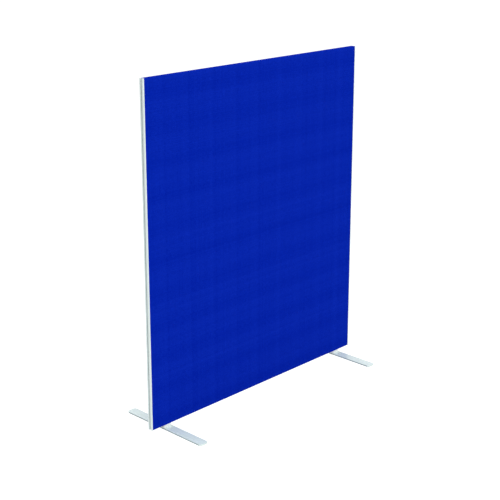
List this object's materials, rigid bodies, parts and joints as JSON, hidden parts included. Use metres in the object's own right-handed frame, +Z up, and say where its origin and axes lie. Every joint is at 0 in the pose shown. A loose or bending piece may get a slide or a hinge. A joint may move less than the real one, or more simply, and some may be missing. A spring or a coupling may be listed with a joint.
{
  "type": "floor standing screen",
  "caption": "Free-standing office screen: a flat cloth-covered rectangular panel with grooved edge trims, carried just above two flat metal bar feet set square to it.",
  "frame": {"origin": "on the floor, under the middle of the panel: the middle of the bounding box's lowest face", "axes": "+Z up the panel, +X along the panel to its right-hand end seen from the front, +Y from the front face to the back face"},
  "size_m": [1.4, 0.5, 1.621],
  "materials": {
    "blue_cloth": "plain woven cloth, matte",
    "trim_plastic": "satin",
    "silver_steel": "satin",
    "spacer_plastic": "satin",
    "softwood": "matte",
    "beech": "matte",
    "core_board": "matte",
    "facing_board": "matte",
    "zinc_steel": "satin",
    "yellow_zinc": "satin"
  },
  "bodies": {
    "root": {"left_stile": "softwood", "right_stile": "softwood", "top_rail": "softwood", "middle_rail": "softwood", "bottom_rail": "softwood", "frame_dowels": "beech", "upper_core": "core_board", "lower_core": "core_board", "front_facing": "facing_board", "rear_facing": "facing_board", "fabric_cover": "blue_cloth", "hem_staples": "zinc_steel", "left_edge_trim": "trim_plastic", "right_edge_trim": "trim_plastic", "left_foot": "silver_steel", "right_foot": "silver_steel", "left_spacer": "spacer_plastic", "right_spacer": "spacer_plastic", "foot_bolts": "zinc_steel", "threaded_inserts": "yellow_zinc"}
  },
  "joints": []
}
